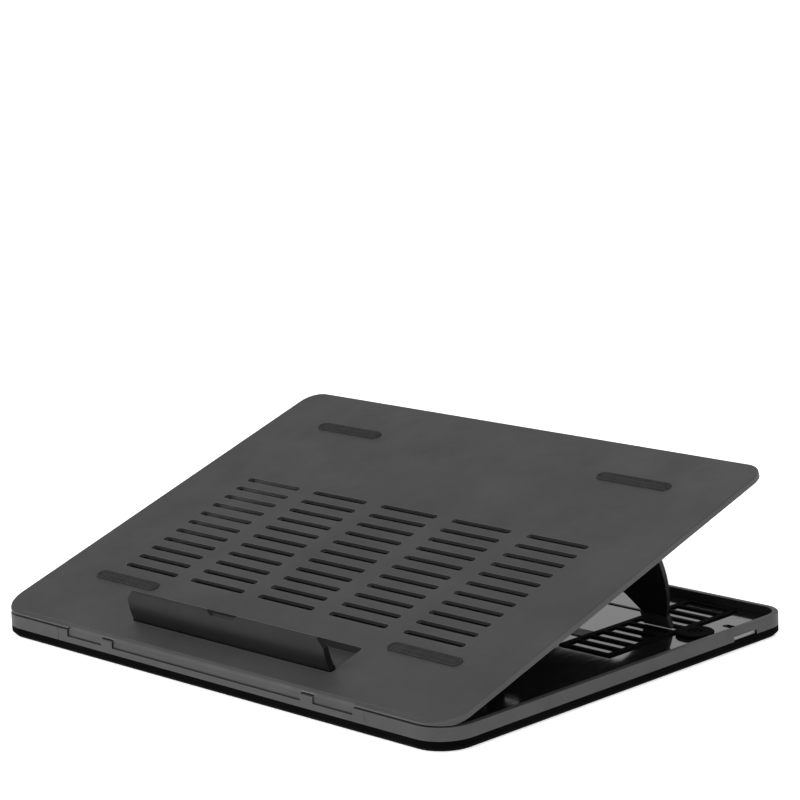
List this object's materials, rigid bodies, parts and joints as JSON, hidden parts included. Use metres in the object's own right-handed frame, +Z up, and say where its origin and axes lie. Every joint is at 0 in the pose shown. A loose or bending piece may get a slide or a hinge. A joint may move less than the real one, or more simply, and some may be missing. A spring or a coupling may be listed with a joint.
{
  "type": "laptop cooling pad",
  "caption": "Passive laptop cooling pad: a vented panel hinged on a shallow tray, propped by a folding arched strut in notch ladders, with a fold-down front lip.",
  "frame": {"origin": "on the table, under the middle of the base", "axes": "+X along the width to the user's right, +Y to the rear, +Z up"},
  "size_m": [0.356, 0.27, 0.0962],
  "materials": {
    "panel_plastic": "fine-textured matte charcoal",
    "tray_plastic": "satin charcoal walls over a glossy floor",
    "black_plastic": "moulded black",
    "strut_plastic": "satin black",
    "lip_plastic": "satin near-black",
    "rubber": "dull black rubber",
    "steel": "plated steel"
  },
  "bodies": {
    "base": {"bottom_cover": "black_plastic", "rubber_feet": "rubber", "base_screws": "steel", "base_tray": "tray_plastic", "front_hinge_rail": "tray_plastic", "rail_screws": "steel", "hinge_pin_left": "steel", "hinge_pin_right": "steel", "notch_ladder_left": "black_plastic", "notch_ladder_right": "black_plastic", "cord_winder": "black_plastic", "winder_screw": "steel"},
    "panel": {"top_panel": "panel_plastic", "panel_under_cover": "black_plastic", "under_cover_screws": "steel", "grip_pads": "rubber", "strut_brackets": "black_plastic", "bracket_screws": "steel"},
    "strut": {"strut_plate": "strut_plastic", "strut_rod": "steel", "strut_foot_left": "rubber", "strut_foot_right": "rubber"},
    "lip": {"retaining_lip": "lip_plastic", "lip_pin": "steel", "lip_cushion": "rubber"}
  },
  "joints": [
    {"name": "panel_tilt", "type": "hinge", "parent": "base", "child": "panel", "pos_m": [0, -0.129, 0.0108], "axis": [1, 0, 0], "range_deg": [0, 5]},
    {"name": "strut_fold", "type": "hinge", "parent": "panel", "child": "strut", "pos_m": [0, 0.04984, 0.06554], "axis": [1, 0, 0], "range_deg": [0, 80]},
    {"name": "lip_fold", "type": "hinge", "parent": "panel", "child": "lip", "pos_m": [0, -0.11297, 0.01874], "axis": [-1, 0, 0], "range_deg": [0, 90]}
  ]
}
